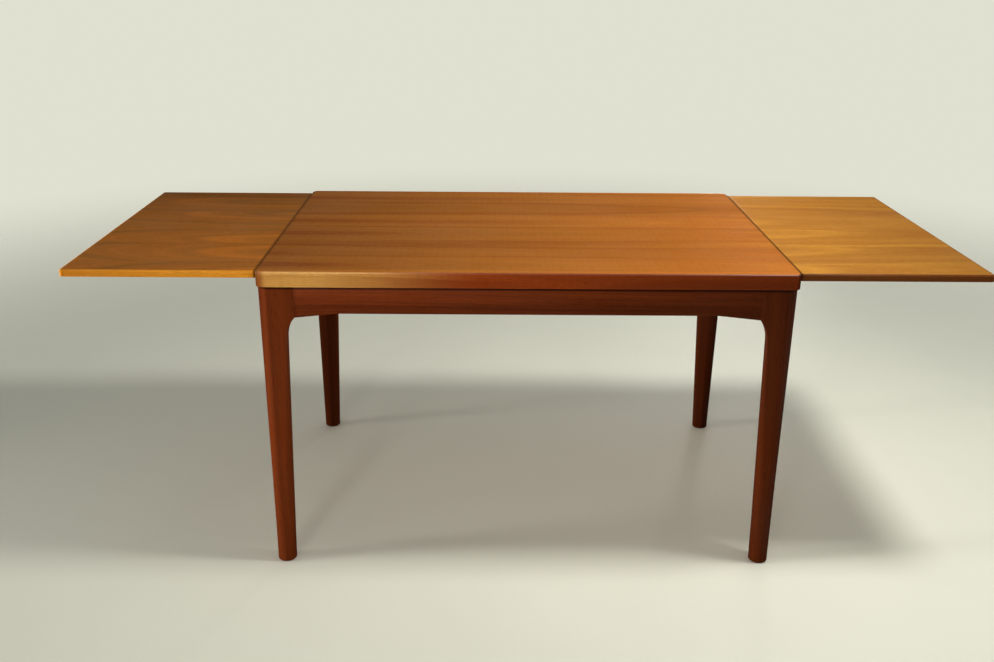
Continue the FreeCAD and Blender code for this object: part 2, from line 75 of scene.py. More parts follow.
MM = 0.001
SAME_PLACE = 0.02 * MM
WELD = 0.01 * MM
FLAT_FOLD = math.radians(0.4)
SHARP_FOLD = math.radians(30)
SHORTEST_EASED = 8 * MM
ROUND = math.sqrt(2) - 1
FOOT_FLAT = 2 * MM
FOOT_ARRIS = 0.8 * MM
SIDES = {"left": -1, "right": 1}
DEPTHS = {"front": -1, "back": 1}
EASED = "eased"
# The slopes across each leaf are painted light and shade, and the right leaf's greater lightness is partly
# painted light for the overhead lamp at the right.
LEAF_VENEERS = {
    "left": {"painted_light_slope": (0.0, -0.7), "lightness": 1.12, "mismatch": 0.2, "tilt": 0.12, "wander": 2.4},
    "right": {"painted_light_slope": (-0.55, 0.22), "lightness": 1.6, "mismatch": 0.15, "tilt": 0.06, "wander": 1.3},
}
# The right legs are painted darker than the left: painted shade, as less light falls on them.
LEG_TONE_AND_SHADE = {"left": 0.86, "right": 0.7}
STEEL_NODES = (
    "bearer_screws", "cleat_screws", "guide_screws", "corner_block_screws", "hanger_bolts",
    "hanger_nuts", "hanger_washers", "runner_left_screws", "runner_right_screws",
)
LAMPS = {
    "overhead": {"place": (1.17, -0.42, 2.5), "target": (0.25, 0.0, 0.6), "size": 0.5, "spread": 180},
    "front": {"place": (-1.6, -4.8, 1.0), "target": (-0.1, -0.3, 0.5), "size": 0.8, "spread": 45},
    "side": {"place": (-5.0, -1.0, 0.8), "target": (-0.3, -0.3, 0.5), "size": 1.2, "spread": 25},
    "back": {"place": (1.8, 4.8, 0.7), "target": (0.0, 0.3, 0.45), "size": 0.8, "spread": 45},
}
LAMP_TINT = (1.0, 0.96, 0.89)
EVEN_TINT = (1.0, 0.98, 0.94, 1.0)
FLOOR_RADIUS = 9.0
FLOOR_FADE = (1.7, 4.6)
SENSOR_WIDTH = 36.0


def srgb(red, green, blue):
    """A colour given in display values from 0 to 255, as Blender's linear values."""
    parts = [value / 255 for value in (red, green, blue)]
    return tuple(p / 12.92 if p <= 0.04045 else ((p + 0.055) / 1.055) ** 2.4 for p in parts)


# Settings

def length(name, description, default):
    return bpy.props.FloatProperty(
        name=name, description=description, default=default, min=0.0, unit="LENGTH")


def share(name, description, default):
    return bpy.props.FloatProperty(
        name=name, description=description, default=default, min=0.0, max=1.0, subtype="FACTOR")


def colour(name, description, *display):
    return bpy.props.FloatVectorProperty(
        name=name, description=description, default=srgb(*display), min=0.0, max=1.0, size=3,
        subtype="COLOR")


def angle(name, description, default):
    return bpy.props.FloatProperty(name=name, description=description, default=default, subtype="ANGLE")


def power(name, description, default):
    return bpy.props.FloatProperty(
        name=name, description=description, default=default, min=0.0, subtype="POWER")


class TableSizes(bpy.types.PropertyGroup):
    """Sizes of the shaped pieces that the frame's boxes don't give."""

    lip_corner: length("Lip corner", "Radius of the upright outer corners of the top", 12 * MM)
    lip_edge: length("Lip edge", "Radius of the upper edge of the top", 3 * MM)
    lip_arris: length("Lip arris", "Easing of the lower edge of the top", 3 * MM)
    leaf_corner: length("Leaf corner", "Radius of the outer corners of a leaf", 7 * MM)
    leaf_edge: length("Leaf edge", "Radius of the open edges of a leaf", 4 * MM)
    joint_edge: length("Joint edge", "Radius of a leaf's edges beside the top", 0.8 * MM)
    tongue_drop: length("Tongue drop", "Depth of a leaf's tongue below its upper face", 0.8 * MM)
    tongue_thickness: length("Tongue thickness", "Thickness of the tongue under the end of the top", 6 * MM)
    leg_width: length("Leg width", "Width of a leg's block", 61 * MM)
    leg_facet: length("Leg facet", "Cut of a leg's outer corner, along each face", 21 * MM)
    leg_crown: share("Facet crown", "How far the cut faces bow out, where 0 is flat", 0.06)
    leg_round: length("Leg edge", "Radius of the other edges of a leg", 2 * MM)
    facet_arris: length("Facet arris", "Softening of the facet's two edges", 1 * MM)
    ear_reach: length("Ear reach", "How far a leg's ear stands out from its block", 19.5 * MM)
    ear_drop: length("Ear drop", "Height of the hollow under an ear", 50 * MM)
    ear_depth: length("Ear depth", "Thickness of an ear", 23 * MM)
    ear_arris: length("Ear arris", "Easing of the edges of an ear", 1.6 * MM)
    foot: length("Foot", "Diameter of the round foot", 44 * MM)
    foot_chamfer: length("Foot chamfer", "Chamfer round the sole", 3 * MM)
    apron_dip: length("Apron dip", "Drop of an apron's lower edge to the ears", 10 * MM)
    apron_dip_length: length("Apron dip length", "Length of the sloping end of that edge", 95 * MM)
    apron_arris: length("Apron arris", "Easing of the long edges of an apron", 1.5 * MM)
    hidden_arris: length("Hidden arris", "Easing of the beech parts under the top", 0.8 * MM)


class TableColours(bpy.types.PropertyGroup):
    """Colours of the woods, the metal and the studio."""

    top_pale: colour("Top pale", "Palest wood in the veneer of the top", 196, 125, 48)
    top_main: colour("Top main", "Most of the veneer of the top", 162, 87, 30)
    top_dark: colour("Top dark", "Dark figure in the veneer of the top", 128, 65, 23)
    # The right leaf's tones are lighter and yellower than the left's, partly as painted light for the
    # overhead lamp at the right.
    left_leaf_pale: colour("Left leaf pale", "Palest wood in the veneer of the left leaf", 180, 106, 34)
    left_leaf_main: colour("Left leaf main", "Most of the veneer of the left leaf", 138, 88, 34)
    left_leaf_dark: colour("Left leaf dark", "Dark figure in the veneer of the left leaf", 100, 58, 22)
    right_leaf_pale: colour("Right leaf pale", "Palest wood in the veneer of the right leaf", 212, 150, 60)
    right_leaf_main: colour("Right leaf main", "Most of the veneer of the right leaf", 178, 114, 46)
    right_leaf_dark: colour("Right leaf dark", "Dark figure in the veneer of the right leaf", 142, 86, 32)
    # lip_pale is painted light: the pale patch on the left of the lips stands in for the front lamp's light
    # there.
    lip_pale: colour("Lip pale", "Sapwood in the lips of the top", 216, 162, 84)
    lip_main: colour("Lip main", "Most of the lips of the top", 142, 60, 18)
    lip_dark: colour("Lip dark", "Dark figure in the lips of the top", 92, 36, 12)
    # The left leaf's edges are a lit copy and the right leaf's a shaded copy of one edge wood: painted
    # light and painted shade for the front lamp at the left.
    left_edge_pale: colour("Left edge pale", "Palest wood in the edges of the left leaf", 232, 152, 44)
    left_edge_main: colour("Left edge main", "Most of the edges of the left leaf", 210, 128, 28)
    left_edge_dark: colour("Left edge dark", "Dark figure in the edges of the left leaf", 156, 84, 22)
    right_edge_pale: colour("Right edge pale", "Palest wood in the edges of the right leaf", 122, 70, 28)
    right_edge_main: colour("Right edge main", "Most of the edges of the right leaf", 102, 54, 21)
    right_edge_dark: colour("Right edge dark", "Dark figure in the edges of the right leaf", 80, 40, 15)
    frame_pale: colour("Frame pale", "Palest wood in the legs and aprons", 112, 48, 16)
    frame_main: colour("Frame main", "Most of the legs and aprons", 88, 36, 12)
    frame_dark: colour("Frame dark", "Dark figure in the legs and aprons", 56, 22, 9)
    beech_pale: colour("Beech pale", "Palest wood in the parts under the top", 208, 170, 126)
    beech_main: colour("Beech main", "Most of the parts under the top", 188, 146, 102)
    beech_dark: colour("Beech dark", "Flecks and lines in those parts", 150, 108, 70)
    steel: colour("Steel", "Plated steel of the screws and bolts", 176, 172, 162)
    floor: colour("Floor", "Studio floor", 250, 254, 240)
    backdrop: colour("Backdrop", "Background beyond the floor", 224, 224, 208)


class StudioSettings(bpy.types.PropertyGroup):
    """The camera and the lamps."""

    camera: bpy.props.FloatVectorProperty(
        name="Camera", description="Place of the camera", default=(-0.0820, -2.5127, 1.3983),
        subtype="TRANSLATION")
    turn: angle("Turn", "Camera's turn to the right", 0.0064)
    tilt: angle("Tilt", "Camera's tilt downwards", 0.3589)
    roll: angle("Roll", "Camera's roll", -0.0081)
    lens: bpy.props.FloatProperty(
        name="Lens", description="Focal length on a 36 mm sensor, in millimetres", default=36.67, min=1.0)
    overhead: power("Overhead lamp", "Soft lamp above the right leaf", 36.0)
    front: power("Front lamp", "Soft lamp at the front left", 3.9)
    side: power("Side lamp", "Broad soft lamp at the left", 6.2)
    back: power("Back lamp", "Soft lamp behind the table", 2.5)
    ambient: bpy.props.FloatProperty(
        name="Ambient", description="Even light from all round", default=0.25, min=0.0)


class TableSettings(bpy.types.PropertyGroup):
    """Everything about the table that a user may change."""

    sizes: bpy.props.PointerProperty(type=TableSizes)
    colours: bpy.props.PointerProperty(type=TableColours)
    studio: bpy.props.PointerProperty(type=StudioSettings)


# Modelling

def leave_nothing_selected():
    if bpy.context.mode != "OBJECT":
        bpy.ops.object.mode_set(mode="OBJECT")
    bpy.ops.object.select_all(action="DESELECT")


def take_up(piece):
    """Makes one object the only one selected, and the active one."""
    leave_nothing_selected()
    piece.select_set(True)
    bpy.context.view_layer.objects.active = piece


def settle(name):
    """Names the active object and puts its place into its mesh."""
    piece = bpy.context.object
    piece.name = piece.data.name = name
    bpy.ops.object.transform_apply(location=True, rotation=True, scale=True)
    return piece


def add_block(name, low, high):
    low, high = Vector(low), Vector(high)
    leave_nothing_selected()
    bpy.ops.mesh.primitive_cube_add(size=1, location=(low + high) / 2, scale=high - low)
    return settle(name)


def edit(piece):
    take_up(piece)
    bpy.ops.object.mode_set(mode="EDIT")


def select(piece, kind, test):
    """Selects, in edit mode, the vertices, edges or faces that pass a test, and counts them."""
    bpy.ops.mesh.select_mode(type=kind)
    bpy.ops.mesh.select_all(action="DESELECT")
    shape = bmesh.from_edit_mesh(piece.data)
    items = {"VERT": shape.verts, "EDGE": shape.edges, "FACE": shape.faces}[kind]
    chosen = [item for item in items if test(item)]
    for item in chosen:
        item.select_set(True)
    bmesh.update_edit_mesh(piece.data)
    return len(chosen)


def near(a, b):
    return abs(a - b) < SAME_PLACE


def runs_along(edge, axis):
    way = edge.verts[1].co - edge.verts[0].co
    return abs(way[axis]) > 0.99 * way.length


def lies_at(edge, axis, place):
    return all(near(vert.co[axis], place) for vert in edge.verts)


def fold_angle(edge):
    return edge.calc_face_angle() if len(edge.link_faces) == 2 else 0.0


def round_edges(piece, test, radius, steps):
    """Rounds the edges that pass a test, and notes the new faces for the finish to wear."""
    edit(piece)
    if not select(piece, "EDGE", test):
        raise RuntimeError(f"{piece.name} has no edge to round")
    bpy.ops.mesh.bevel(offset=radius, segments=steps, profile=0.5, affect="EDGES", clamp_overlap=True)
    bpy.ops.object.mode_set(mode="OBJECT")
    marks = piece.data.attributes.get(EASED) or piece.data.attributes.new(EASED, "FLOAT", "FACE")
    for face in piece.data.polygons:
        if face.select:
            marks.data[face.index].value = 1.0


def combine(piece, other, operation):
    """Joins another closed shape to a piece, or cuts it out, and removes the other."""
    take_up(piece)
    joint = piece.modifiers.new(operation.lower(), "BOOLEAN")
    joint.operation, joint.solver, joint.object = operation, "EXACT", other
    bpy.ops.object.modifier_apply(modifier=joint.name)
    bpy.data.objects.remove(other)
    remove_slivers(piece)


def remove_slivers(piece):
    """Merges points that lie together, and takes out faces and edges without size."""
    edit(piece)
    bpy.ops.mesh.select_all(action="SELECT")
    bpy.ops.mesh.remove_doubles(threshold=SAME_PLACE)
    bpy.ops.mesh.dissolve_degenerate(threshold=SAME_PLACE)
    bpy.ops.mesh.delete_loose()
    bpy.ops.object.mode_set(mode="OBJECT")


def face_outwards(piece):
    edit(piece)
    bpy.ops.mesh.select_all(action="SELECT")
    bpy.ops.mesh.normals_make_consistent(inside=False)
    bpy.ops.object.mode_set(mode="OBJECT")


def shade(piece, limit=35):
    """Shades a piece smooth, apart from edges that fold by more than a limit in degrees."""
    take_up(piece)
    bpy.ops.object.shade_smooth_by_angle(angle=math.radians(limit))


def mirrored_copy(piece, name, x_sign, y_sign):
    """A copy with its own mesh, mirrored about the table's middle planes."""
    take_up(piece)
    bpy.ops.object.duplicate()
    copy = bpy.context.object
    copy.name = copy.data.name = name
    edit(copy)
    bpy.ops.mesh.select_all(action="SELECT")
    bpy.ops.transform.resize(value=(x_sign, y_sign, 1), center_override=(0, 0, 0))
    bpy.ops.object.mode_set(mode="OBJECT")
    face_outwards(copy)
    return copy


def eased_copy(node, name, radius):
    """A copy of a CAD node's mesh, merged, with its long sharp edges eased."""
    take_up(frame["nodes"][node])
    bpy.ops.object.duplicate()
    copy = bpy.context.object
    copy.name = copy.data.name = name
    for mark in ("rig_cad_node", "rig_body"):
        del copy[mark]
    copy.parent = None
    bpy.ops.mesh.customdata_custom_splitnormals_clear()
    edit(copy)
    bpy.ops.mesh.select_all(action="SELECT")
    bpy.ops.mesh.remove_doubles(threshold=WELD)
    bpy.ops.mesh.dissolve_limited(angle_limit=FLAT_FOLD)
    bpy.ops.object.mode_set(mode="OBJECT")
    round_edges(copy, lambda e: fold_angle(e) > SHARP_FOLD and e.calc_length() > SHORTEST_EASED, radius, 2)
    shade(copy)
    return copy


def dress(piece, body, slot, finish, *nodes, veneer=None):
    """Gives a finished piece its material, with any veneer on its upper face, and ties it to the frame."""
    piece.data.materials.clear()
    piece.data.materials.append(finish)
    if veneer:
        piece.data.materials.append(veneer)
        top = max(vert.co.z for vert in piece.data.vertices)
        for face in piece.data.polygons:
            face.material_index = int(near(face.center.z, top))
    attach(piece, body)
    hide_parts(*nodes)


def dress_node(node, finish):
    """Gives a CAD node whose shape is right a better material."""
    for slot in frame["nodes"][node].material_slots:
        slot.material = finish


# Materials

class Value:
    """An output of a node, on which arithmetic adds Math nodes."""

    def __init__(self, nodes, socket):
        self.nodes, self.socket = nodes, socket

    def other(self, output):
        """Another output of the same node."""
        return Value(self.nodes, self.socket.node.outputs[output])

    def math(self, operation, *inputs):
        return self.nodes.add("ShaderNodeMath", {"operation": operation}, inputs)

    def __add__(self, other):
        return self.math("ADD", self, other)

    def __sub__(self, other):
        return self.math("SUBTRACT", self, other)

    def __rsub__(self, other):
        return self.math("SUBTRACT", other, self)

    def __mul__(self, other):
        return self.math("MULTIPLY", self, other)

    def __truediv__(self, other):
        return self.math("DIVIDE", self, other)

    def __pow__(self, other):
        return self.math("POWER", self, other)

    __radd__, __rmul__ = __add__, __mul__

    def whole(self):
        return self.math("FLOOR", self)

    def fraction(self):
        return self.math("FRACT", self)

    def size(self):
        return self.math("ABSOLUTE", self)

    def rise(self, start, end):
        """0 up to start, 1 from end on, and a smooth step between."""
        limits = {"Value": self, "From Min": start, "From Max": end}
        return self.nodes.add("ShaderNodeMapRange", {"interpolation_type": "SMOOTHSTEP"}, limits)


class Nodes:
    """The node tree of a material or the world, emptied and filled again."""

    def __init__(self, owner):
        owner.use_nodes = True
        self.tree = owner.node_tree
        self.tree.nodes.clear()

    def add(self, kind, settings=None, inputs=(), output=0):
        """Adds a node of a kind, with its settings and with values or links for its inputs."""
        made = self.tree.nodes.new(kind)
        for key, value in (settings or {}).items():
            setattr(made, key, value)
        named = inputs.items() if isinstance(inputs, dict) else enumerate(inputs)
        for key, value in named:
            if isinstance(value, Value):
                self.tree.links.new(value.socket, made.inputs[key])
            else:
                made.inputs[key].default_value = value
        return Value(self, made.outputs[output] if made.outputs else None)

    def place(self):
        """X, Y and Z on the piece."""
        spot = self.add("ShaderNodeTexCoord", output="Object")
        split = self.add("ShaderNodeSeparateXYZ", inputs=[spot])
        return [split.other(axis) for axis in "XYZ"]

    def noise(self, x, y, z, detail=2.0):
        spot = self.add("ShaderNodeCombineXYZ", inputs=[x, y, z])
        inputs = {"Vector": spot, "Scale": 1.0, "Detail": detail, "Roughness": 0.5}
        return self.add("ShaderNodeTexNoise", inputs=inputs)

    def blend(self, share_of_second, first, second):
        """A mix of two colours."""
        colours = [value if isinstance(value, Value) else (*value, 1.0) for value in (first, second)]
        inputs = {0: share_of_second, 6: colours[0], 7: colours[1]}
        return self.add("ShaderNodeMix", {"data_type": "RGBA"}, inputs, 2)

    def tinted(self, tint, amount):
        """A colour made lighter or darker by an amount."""
        return self.add("ShaderNodeVectorMath", {"operation": "SCALE"}, {0: tint, "Scale": amount})

    def bump(self, height, depth, strength=1.0):
        inputs = {"Height": height, "Distance": depth, "Strength": strength}
        return self.add("ShaderNodeBump", inputs=inputs)

    def attribute(self, name):
        return self.add("ShaderNodeAttribute", {"attribute_name": name}, output="Fac")

    def surface(self, **inputs):
        """The shader that ends a material, whose inputs are named with underscores for spaces."""
        named = {key.replace("_", " "): value for key, value in inputs.items()}
        shader = self.add("ShaderNodeBsdfPrincipled", inputs=named)
        self.add("ShaderNodeOutputMaterial", inputs=[shader])


def teak(name, tones, grain="X", seed=0.0, pith=(0.09, 0.06), ring=0.0045, tilt=0.0, veneer=0.0,
         mismatch=0.15, broad=42.0, contrast=1.0, painted_light_slope=(0.0, 0.0), lightness=1.0, wander=1.0,
         painted_light_patch=None, polish=(0.1, 0.0), darkening=()):
    """Oiled teak, cut from a tree whose heart lies at pith from the middle of the table.

    pith is given across the grain and in depth, ring is the width of a year's growth, and tilt is how
    much deeper the heart lies for each metre along the grain.
    A veneer is laid in strips of that width, each with a heart of its own, and has a broader figure.
    mismatch is how much the strips differ in lightness.
    broad is the number of broad bands in a metre of growth, contrast how strongly the figure shows, and
    wander how far its lines stray.
    painted_light_slope is how much lighter the wood is painted, per metre, to the right and to the back of
    the middle: painted light and shade for how the lamps' light falls across the table.
    lightness is how light the whole piece is beside its tones; for the legs and the leaves it also holds
    painted light and shade.
    painted_light_patch gives the two places along X between which a pale patch of painted light runs out,
    standing in for the front lamp's light, and the distances from the middle between which darker wood
    comes back at the ends, partly painted shade on the rounded corners and partly darker end grain.
    polish is the gloss of the handled edges, and the height from which they have it.
    darkening lists where the wood is painted darker: an axis, the distances from the middle of the table at
    which the wood is untouched and darkest, and how dark it gets there, which is below zero where it is
    painted lighter instead. Most entries are painted shade: under the lips of the top, on the inner faces
    of the legs, at the joints between the top and the leaves, and on the rounded ends of the lips.
    """
    material = bpy.data.materials.new(name)
    nodes = Nodes(material)
    x, y, z = nodes.place()
    along, across, deep = {"X": (x, y, z), "Y": (y, x, z), "Z": (z, x, y)}[grain]
    drift = nodes.noise(along * 1.3, across * 4.0, deep * 4.0 + seed) - 0.5
    sway = nodes.noise(along * 0.8, across * 1.5 + seed, deep * 1.5, detail=1.0) - 0.5
    tone, fine = lightness, 1.0
    if veneer:
        fine = 0.45
        strip = (across / veneer + seed).whole()
        place = {"W": strip + seed}
        chance = nodes.add("ShaderNodeTexWhiteNoise", {"noise_dimensions": "1D"}, place, "Color")
        lots = nodes.add("ShaderNodeSeparateXYZ", inputs=[chance])
        middle = (strip + 0.5 - seed) * veneer
        side = across - middle + (lots - 0.5) * veneer * 0.9
        depth = lots.other("Y") * pith[1] + 0.008 + along * tilt
        tone = (1 + (lots.other("Z") - 0.5) * mismatch) * lightness
    else:
        side, depth = across - pith[0], deep - pith[1] + along * tilt
    side, depth = side + drift * 0.022 * wander, depth + sway * 0.05 * wander
    radius = (side * side + depth * depth) ** 0.5
    ripple = nodes.noise(along * 5.0, radius * 160.0, seed, detail=2.0) - 0.5
    phase = (radius / ring + ripple * 0.7).fraction()
    late = phase.rise(0.25, 0.92) * (1 - phase.rise(0.93, 1.0))
    bands = nodes.noise(along * 0.5, radius * broad, seed + 3.1, detail=3.0).rise(0.3, 0.7)
    figure = nodes.noise(along * 1.5, radius * 140.0 * fine, seed + 7.7, detail=3.0).rise(0.35, 0.7)
    streak = nodes.noise(along * 0.6, radius * 260.0 * fine, seed + 11.0, detail=1.0).rise(0.64, 0.76)
    fibre = nodes.noise(along * 9.0, across * 520.0, deep * 520.0, detail=3.0)
    pores = nodes.noise(along * 60.0, across * 2100.0, deep * 2100.0, detail=0.0).rise(0.58, 0.7)
    pores = pores * (1 - late * 0.6)
    # A pale patch of painted light, with darker wood at the ends that is partly painted shade on the
    # rounded corners.
    if painted_light_patch:
        pale = 1 - (x + drift * 0.25 + (late - 0.5) * 0.03).rise(*painted_light_patch[:2])
        pale = pale * (1 - x.size().rise(*painted_light_patch[2:]) * 0.75)
        heart = nodes.blend(bands, tones["main"], tones["dark"])
        wood = nodes.blend(pale, heart, tones["pale"])
    else:
        wood = nodes.blend(bands, tones["pale"], tones["main"])
    wood = nodes.blend((figure * 0.4 + late * 0.16) * contrast, wood, tones["dark"])
    wood = nodes.blend(streak * 0.45 * contrast, wood, tones["dark"])
    eased = nodes.attribute(EASED)
    worn = eased * nodes.noise(along * 14.0, across * 40.0, deep * 40.0).rise(0.3, 0.7)
    pores_and_darkening = 1 - pores * 0.35
    # Painted shade and the other darker or lighter bands listed for the piece, over the darker pores.
    for axis, start, end, darkness in darkening:
        spot = {"X": x.size(), "Y": y.size(), "Z": z}[axis]
        pores_and_darkening = pores_and_darkening * (1 - spot.rise(start, end) * darkness)
    # The slope along x and y is painted light and shade across the table.
    light = (0.86 + fibre * 0.28 + x * painted_light_slope[0] + y * painted_light_slope[1] + worn * 0.16) * tone
    wood = nodes.tinted(wood, light * pores_and_darkening)
    smudge = nodes.noise(x * 5.0, y * 5.0, z * 5.0 + seed, detail=3.0)
    dull = 0.42 + smudge * 0.12 + pores * 0.25 + fibre * 0.08 - worn * 0.06
    gloss = eased * pores_and_darkening * z.rise(polish[1], polish[1] + 2 * MM) * polish[0]
    oil = 0.05 + smudge.rise(0.3, 0.7) * 0.05 - pores * 0.04 + gloss
    height = fibre * 0.35 - pores - late * 0.25
    nodes.surface(Base_Color=wood, Roughness=dull, Specular_IOR_Level=0.0, Coat_Weight=oil,
                  Coat_Roughness=0.3, Normal=nodes.bump(height, 0.25 * MM, 0.35))
    return material


def beech(name, tones, grain="X", seed=0.0):
    """Plain steamed beech with its short dark flecks."""
    material = bpy.data.materials.new(name)
    nodes = Nodes(material)
    x, y, z = nodes.place()
    along, across, deep = {"X": (x, y, z), "Y": (y, x, z), "Z": (z, x, y)}[grain]
    bands = nodes.noise(along * 1.2, across * 30.0 + seed, deep * 30.0, detail=3.0).rise(0.3, 0.7)
    fibre = nodes.noise(along * 12.0, across * 600.0, deep * 600.0, detail=3.0)
    flecks = nodes.noise(along * 180.0, across * 1300.0, deep * 1300.0 + seed, detail=0.0).rise(0.64, 0.72)
    dust = nodes.noise(x * 9.0, y * 9.0, z * 9.0 + seed, detail=4.0).rise(0.4, 0.75)
    wood = nodes.blend(bands, tones["pale"], tones["main"])
    wood = nodes.blend(flecks * 0.75, wood, tones["dark"])
    wood = nodes.blend(dust * 0.22, wood, tones["dark"])
    worn = nodes.attribute(EASED) * dust
    wood = nodes.blend(worn * 0.4, wood, tones["dark"])
    wood = nodes.tinted(wood, 0.9 + fibre * 0.2)
    height = fibre * 0.4 - flecks
    nodes.surface(Base_Color=wood, Roughness=0.52 + fibre * 0.12 + dust * 0.1,
                  Normal=nodes.bump(height, 0.2 * MM, 0.35))
    return material


def plated_steel(name, tint):
    """Dull zinc plating, spangled and a little stained."""
    material = bpy.data.materials.new(name)
    nodes = Nodes(material)
    x, y, z = nodes.place()
    stains = nodes.noise(x * 160.0, y * 160.0, z * 160.0, detail=4.0)
    spangle = nodes.noise(x * 900.0, y * 900.0, z * 900.0, detail=2.0)
    metal = nodes.blend(stains.rise(0.45, 0.75) * 0.6, tint, srgb(116, 104, 88))
    metal = nodes.tinted(metal, 0.82 + spangle * 0.36)
    nodes.surface(Base_Color=metal, Metallic=1.0, Roughness=0.3 + stains * 0.25 + spangle * 0.08,
                  Normal=nodes.bump(spangle, 0.05 * MM, 0.5))
    return material


def shade_under_lips():
    """Painted shade along the top of the legs and aprons, under the lips of the top."""
    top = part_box("apron_front")[1].z
    return [("Z", top - 8 * MM, top - 3 * MM, 0.75)]


def tones_of(colours, wood):
    """The pale, main and dark tones of a wood."""
    return {tone: tuple(getattr(colours, f"{wood}_{tone}")) for tone in ("pale", "main", "dark")}


# Operators

class TABLE_OT_top(bpy.types.Operator):
    """Model the lips of the top, and veneer its panel"""

    bl_idname = "table.top"
    bl_label = "Top"

    def execute(self, context):
        sizes, colours = context.scene.table.sizes, context.scene.table.colours
        end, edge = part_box("top_panel")[1].x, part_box("top_lip_back")[1].y
        # Painted shade darkens the ends of the top beside the leaves, and the veneer is painted lighter to
        # the right as painted light for the overhead lamp; a lighter band runs along the long edges.
        top_end_joint_shade = ("X", end - 5 * MM, end - 1 * MM, 0.6)
        lighter_edge_band = ("Y", edge - 26 * MM, edge - 14 * MM, -0.2)
        veneer = teak("teak_top", tones_of(colours, "top"), veneer=0.133, seed=4.0, tilt=0.05, wander=1.8,
                      painted_light_slope=(0.34, 0.0), contrast=0.6, mismatch=0.16, broad=16.0, lightness=0.91,
                      darkening=[top_end_joint_shade, lighter_edge_band])
        dress_node("top_panel", veneer)
        for depth, sign in DEPTHS.items():
            node = f"top_lip_{depth}"
            low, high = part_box(node)
            lip = add_block(f"{depth}_top_lip", low, high)
            outer, top, bottom = (high if sign > 0 else low).y, high.z, low.z
            glued = (low if sign > 0 else high).y

            def is_open(e, level):
                return lies_at(e, 2, level) and not lies_at(e, 1, glued)

            round_edges(lip, lambda e: runs_along(e, 2) and lies_at(e, 1, outer), sizes.lip_corner, 8)
            round_edges(lip, lambda e: is_open(e, top), sizes.lip_edge, 4)
            round_edges(lip, lambda e: is_open(e, bottom), sizes.lip_arris, 2)
            shade(lip)
            # The lips are painted pale on the left and darker to the right, painted light and shade for the
            # front lamp at the left, with painted shade on their rounded ends.
            finish = teak(f"teak_{depth}_lip", tones_of(colours, "lip"), seed=9.0 + sign,
                          pith=(0.5 * sign, 0.70), ring=0.004, lightness=1.16, painted_light_slope=(-0.35, 0.0),
                          painted_light_patch=(-0.55, -0.12, end - 25 * MM, end - 9 * MM),
                          polish=(0.8, top - 5 * MM), darkening=[("X", end - 11 * MM, end - 5 * MM, 0.6)])
            dress(lip, "centre_top", "teak_lip", finish, node, veneer=veneer)
        return {"FINISHED"}


